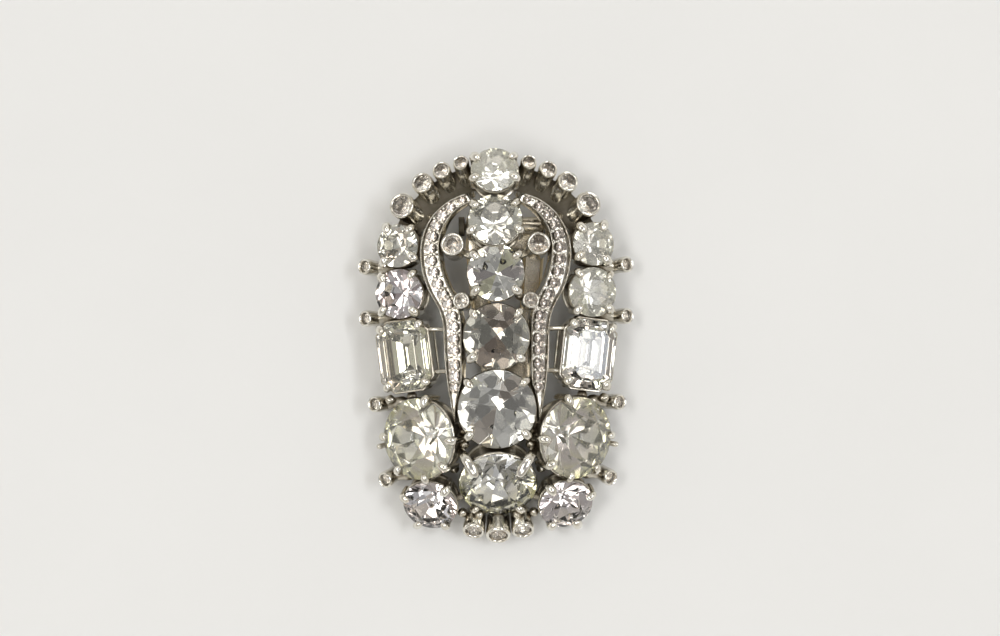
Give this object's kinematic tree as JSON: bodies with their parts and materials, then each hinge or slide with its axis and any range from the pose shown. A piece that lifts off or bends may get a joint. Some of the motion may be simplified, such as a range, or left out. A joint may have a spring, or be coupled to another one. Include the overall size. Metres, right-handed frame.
{
  "type": "dress clip",
  "caption": "Domed openwork dress clip of clear cut stones in aged silver settings, with curved pave bands and a sprung toothed clip behind.",
  "frame": {"origin": "under the middle of the outline, on the plane that the clip lies on", "axes": "+Z out of the face, +Y along the length towards the arched, hinged end, +X to the right as it is seen"},
  "size_m": [0.0434, 0.0622, 0.0124],
  "materials": {
    "setting_metal": "aged silver plate, bright on claws and rails and brown-grey in the recesses",
    "clip_metal": "tarnished silver plate, worn at the edges",
    "large_glass": "clear faceted glass with a mirror foil behind",
    "small_glass": "small clear faceted glass with a mirror foil behind"
  },
  "bodies": {
    "root": {"frame": "setting_metal", "clip": "clip_metal", "column_stone_1": "large_glass", "column_stone_2": "large_glass", "column_stone_3": "large_glass", "column_stone_4": "large_glass", "column_stone_5": "large_glass", "column_stone_6": "large_glass", "side_stone_1_right": "large_glass", "side_stone_1_left": "large_glass", "side_stone_2_right": "large_glass", "side_stone_2_left": "large_glass", "side_stone_4_right": "large_glass", "side_stone_4_left": "large_glass", "side_stone_5_right": "large_glass", "side_stone_5_left": "large_glass", "step_stone_right": "large_glass", "step_stone_left": "large_glass", "arc_cup_stone_1_right": "small_glass", "arc_cup_stone_1_left": "small_glass", "arc_cup_stone_2_right": "small_glass", "arc_cup_stone_2_left": "small_glass", "arc_cup_stone_3_right": "small_glass", "arc_cup_stone_3_left": "small_glass", "arc_cup_stone_4_right": "small_glass", "arc_cup_stone_4_left": "small_glass", "inner_cup_stone_1_right": "small_glass", "inner_cup_stone_1_left": "small_glass", "inner_cup_stone_2_right": "small_glass", "inner_cup_stone_2_left": "small_glass", "edge_cup_stone_1_right": "small_glass", "edge_cup_stone_1_left": "small_glass", "edge_cup_stone_2_right": "small_glass", "edge_cup_stone_2_left": "small_glass", "edge_cup_stone_3_right": "small_glass", "edge_cup_stone_3_left": "small_glass", "edge_cup_stone_4_right": "small_glass", "edge_cup_stone_4_left": "small_glass", "base_cup_stone_1_right": "small_glass", "base_cup_stone_1_left": "small_glass", "base_cup_stone_2": "small_glass", "pave_right": "small_glass", "pave_left": "small_glass"}
  },
  "joints": []
}
